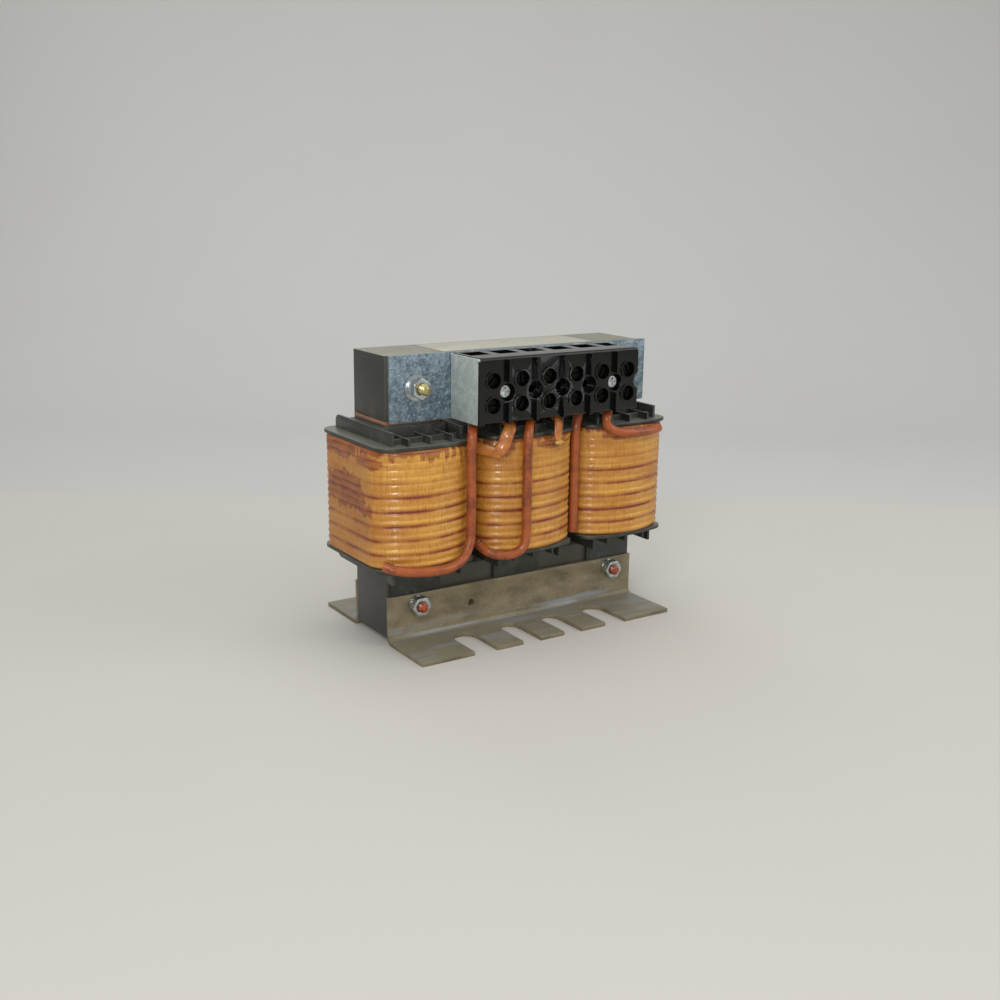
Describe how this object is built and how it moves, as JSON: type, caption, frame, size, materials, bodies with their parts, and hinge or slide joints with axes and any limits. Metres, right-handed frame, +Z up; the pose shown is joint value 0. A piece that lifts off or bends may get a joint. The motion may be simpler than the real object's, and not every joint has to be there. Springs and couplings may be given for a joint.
{
  "type": "three-phase line reactor",
  "caption": "Three-phase iron-core line reactor: amber windings on moulded bobbins, a cage-clamp terminal block on top and slotted mounting angles.",
  "frame": {"origin": "on the floor under the middle of the core, midway between the outer edges of the two mounting angles", "axes": "+X to the right along the core, seen from the front; -Y to the front, where the terminal block is; +Z up"},
  "size_m": [0.2128, 0.1246, 0.1735],
  "materials": {
    "core_steel": "dull black varnish",
    "spacer": "varnished board",
    "angle_steel": "raw brownish steel under clear varnish",
    "zinc": "bright zinc plate",
    "yellow_zinc": "yellow zinc plate",
    "plate_zinc": "bluish zinc plate",
    "sleeve_nylon": "natural nylon",
    "black_block": "glossy moulded phenolic",
    "black_bobbin": "satin moulded nylon",
    "label": "blank cream label",
    "coil_core": "varnished winding",
    "coil_wire": "enamelled wire under amber varnish",
    "lead": "varnished glass sleeving",
    "clamp_steel": "zinc plate",
    "bar_brass": "plated brass"
  },
  "bodies": {
    "reactor": {"e_core": "core_steel", "top_yoke": "core_steel", "gap_spacers": "spacer", "front_mounting_angle": "angle_steel", "rear_mounting_angle": "angle_steel", "lower_bolts": "zinc", "lower_nuts": "zinc", "lower_flat_washers": "zinc", "lower_lock_washers": "zinc", "upper_bolts": "yellow_zinc", "upper_nuts": "zinc", "upper_flat_washers": "zinc", "upper_lock_washers": "zinc", "bolt_sleeves": "sleeve_nylon", "front_clamp_plate": "plate_zinc", "terminal_bracket": "plate_zinc", "terminal_block": "black_block", "terminal_bars": "bar_brass", "block_screws": "zinc", "rating_label": "label", "bobbin_left": "black_bobbin", "bobbin_middle": "black_bobbin", "bobbin_right": "black_bobbin", "winding_core_left": "coil_core", "winding_core_middle": "coil_core", "winding_core_right": "coil_core", "winding_turns_left": "coil_wire", "winding_turns_middle": "coil_wire", "winding_turns_right": "coil_wire", "lead_1": "lead", "lead_2": "lead", "lead_3": "lead", "lead_4": "lead", "lead_5": "lead", "lead_6": "lead"},
    "clamp_screw_top_1": {"clamp_screw_top_1": "clamp_steel"},
    "clamp_cage_top_1": {"clamp_cage_top_1": "clamp_steel"},
    "clamp_screw_top_2": {"clamp_screw_top_2": "clamp_steel"},
    "clamp_cage_top_2": {"clamp_cage_top_2": "clamp_steel"},
    "clamp_screw_top_3": {"clamp_screw_top_3": "clamp_steel"},
    "clamp_cage_top_3": {"clamp_cage_top_3": "clamp_steel"},
    "clamp_screw_top_4": {"clamp_screw_top_4": "clamp_steel"},
    "clamp_cage_top_4": {"clamp_cage_top_4": "clamp_steel"},
    "clamp_screw_top_5": {"clamp_screw_top_5": "clamp_steel"},
    "clamp_cage_top_5": {"clamp_cage_top_5": "clamp_steel"},
    "clamp_screw_top_6": {"clamp_screw_top_6": "clamp_steel"},
    "clamp_cage_top_6": {"clamp_cage_top_6": "clamp_steel"},
    "clamp_screw_bottom_1": {"clamp_screw_bottom_1": "clamp_steel"},
    "clamp_cage_bottom_1": {"clamp_cage_bottom_1": "clamp_steel"},
    "clamp_screw_bottom_2": {"clamp_screw_bottom_2": "clamp_steel"},
    "clamp_cage_bottom_2": {"clamp_cage_bottom_2": "clamp_steel"},
    "clamp_screw_bottom_3": {"clamp_screw_bottom_3": "clamp_steel"},
    "clamp_cage_bottom_3": {"clamp_cage_bottom_3": "clamp_steel"},
    "clamp_screw_bottom_4": {"clamp_screw_bottom_4": "clamp_steel"},
    "clamp_cage_bottom_4": {"clamp_cage_bottom_4": "clamp_steel"},
    "clamp_screw_bottom_5": {"clamp_screw_bottom_5": "clamp_steel"},
    "clamp_cage_bottom_5": {"clamp_cage_bottom_5": "clamp_steel"},
    "clamp_screw_bottom_6": {"clamp_screw_bottom_6": "clamp_steel"},
    "clamp_cage_bottom_6": {"clamp_cage_bottom_6": "clamp_steel"}
  },
  "joints": [
    {"name": "clamp_screw_top_1_turn", "type": "hinge", "parent": "reactor", "child": "clamp_screw_top_1", "pos_m": [-0.0381, -0.04, 0.1596], "axis": [0, -1, 0], "range_deg": [-2250, 0]},
    {"name": "clamp_cage_top_1_slide", "type": "slide", "parent": "reactor", "child": "clamp_cage_top_1", "axis": [0, -1, 0], "range_m": [0, 0.005]},
    {"name": "clamp_screw_top_2_turn", "type": "hinge", "parent": "reactor", "child": "clamp_screw_top_2", "pos_m": [-0.0185, -0.04, 0.1596], "axis": [0, -1, 0], "range_deg": [-2250, 0]},
    {"name": "clamp_cage_top_2_slide", "type": "slide", "parent": "reactor", "child": "clamp_cage_top_2", "axis": [0, -1, 0], "range_m": [0, 0.005]},
    {"name": "clamp_screw_top_3_turn", "type": "hinge", "parent": "reactor", "child": "clamp_screw_top_3", "pos_m": [0.0011, -0.04, 0.1596], "axis": [0, -1, 0], "range_deg": [-2250, 0]},
    {"name": "clamp_cage_top_3_slide", "type": "slide", "parent": "reactor", "child": "clamp_cage_top_3", "axis": [0, -1, 0], "range_m": [0, 0.005]},
    {"name": "clamp_screw_top_4_turn", "type": "hinge", "parent": "reactor", "child": "clamp_screw_top_4", "pos_m": [0.0207, -0.04, 0.1596], "axis": [0, -1, 0], "range_deg": [-2250, 0]},
    {"name": "clamp_cage_top_4_slide", "type": "slide", "parent": "reactor", "child": "clamp_cage_top_4", "axis": [0, -1, 0], "range_m": [0, 0.005]},
    {"name": "clamp_screw_top_5_turn", "type": "hinge", "parent": "reactor", "child": "clamp_screw_top_5", "pos_m": [0.0403, -0.04, 0.1596], "axis": [0, -1, 0], "range_deg": [-2250, 0]},
    {"name": "clamp_cage_top_5_slide", "type": "slide", "parent": "reactor", "child": "clamp_cage_top_5", "axis": [0, -1, 0], "range_m": [0, 0.005]},
    {"name": "clamp_screw_top_6_turn", "type": "hinge", "parent": "reactor", "child": "clamp_screw_top_6", "pos_m": [0.0599, -0.04, 0.1596], "axis": [0, -1, 0], "range_deg": [-2250, 0]},
    {"name": "clamp_cage_top_6_slide", "type": "slide", "parent": "reactor", "child": "clamp_cage_top_6", "axis": [0, -1, 0], "range_m": [0, 0.005]},
    {"name": "clamp_screw_bottom_1_turn", "type": "hinge", "parent": "reactor", "child": "clamp_screw_bottom_1", "pos_m": [-0.0381, -0.04, 0.145], "axis": [0, -1, 0], "range_deg": [0, 585]},
    {"name": "clamp_cage_bottom_1_slide", "type": "slide", "parent": "reactor", "child": "clamp_cage_bottom_1", "axis": [0, -1, 0], "range_m": [-0.0013, 0]},
    {"name": "clamp_screw_bottom_2_turn", "type": "hinge", "parent": "reactor", "child": "clamp_screw_bottom_2", "pos_m": [-0.0185, -0.04, 0.145], "axis": [0, -1, 0], "range_deg": [0, 585]},
    {"name": "clamp_cage_bottom_2_slide", "type": "slide", "parent": "reactor", "child": "clamp_cage_bottom_2", "axis": [0, -1, 0], "range_m": [-0.0013, 0]},
    {"name": "clamp_screw_bottom_3_turn", "type": "hinge", "parent": "reactor", "child": "clamp_screw_bottom_3", "pos_m": [0.0011, -0.04, 0.145], "axis": [0, -1, 0], "range_deg": [0, 585]},
    {"name": "clamp_cage_bottom_3_slide", "type": "slide", "parent": "reactor", "child": "clamp_cage_bottom_3", "axis": [0, -1, 0], "range_m": [-0.0013, 0]},
    {"name": "clamp_screw_bottom_4_turn", "type": "hinge", "parent": "reactor", "child": "clamp_screw_bottom_4", "pos_m": [0.0207, -0.04, 0.145], "axis": [0, -1, 0], "range_deg": [0, 585]},
    {"name": "clamp_cage_bottom_4_slide", "type": "slide", "parent": "reactor", "child": "clamp_cage_bottom_4", "axis": [0, -1, 0], "range_m": [-0.0013, 0]},
    {"name": "clamp_screw_bottom_5_turn", "type": "hinge", "parent": "reactor", "child": "clamp_screw_bottom_5", "pos_m": [0.0403, -0.04, 0.145], "axis": [0, -1, 0], "range_deg": [0, 585]},
    {"name": "clamp_cage_bottom_5_slide", "type": "slide", "parent": "reactor", "child": "clamp_cage_bottom_5", "axis": [0, -1, 0], "range_m": [-0.0013, 0]},
    {"name": "clamp_screw_bottom_6_turn", "type": "hinge", "parent": "reactor", "child": "clamp_screw_bottom_6", "pos_m": [0.0599, -0.04, 0.145], "axis": [0, -1, 0], "range_deg": [0, 585]},
    {"name": "clamp_cage_bottom_6_slide", "type": "slide", "parent": "reactor", "child": "clamp_cage_bottom_6", "axis": [0, -1, 0], "range_m": [-0.0013, 0]}
  ],
  "couplings": [
    {"joint": "clamp_screw_top_1_turn", "follows": "clamp_cage_top_1_slide", "rad_per_m": -7854},
    {"joint": "clamp_screw_top_2_turn", "follows": "clamp_cage_top_2_slide", "rad_per_m": -7854},
    {"joint": "clamp_screw_top_3_turn", "follows": "clamp_cage_top_3_slide", "rad_per_m": -7854},
    {"joint": "clamp_screw_top_4_turn", "follows": "clamp_cage_top_4_slide", "rad_per_m": -7854},
    {"joint": "clamp_screw_top_5_turn", "follows": "clamp_cage_top_5_slide", "rad_per_m": -7854},
    {"joint": "clamp_screw_top_6_turn", "follows": "clamp_cage_top_6_slide", "rad_per_m": -7854},
    {"joint": "clamp_screw_bottom_1_turn", "follows": "clamp_cage_bottom_1_slide", "rad_per_m": -7854},
    {"joint": "clamp_screw_bottom_2_turn", "follows": "clamp_cage_bottom_2_slide", "rad_per_m": -7854},
    {"joint": "clamp_screw_bottom_3_turn", "follows": "clamp_cage_bottom_3_slide", "rad_per_m": -7854},
    {"joint": "clamp_screw_bottom_4_turn", "follows": "clamp_cage_bottom_4_slide", "rad_per_m": -7854},
    {"joint": "clamp_screw_bottom_5_turn", "follows": "clamp_cage_bottom_5_slide", "rad_per_m": -7854},
    {"joint": "clamp_screw_bottom_6_turn", "follows": "clamp_cage_bottom_6_slide", "rad_per_m": -7854}
  ]
}
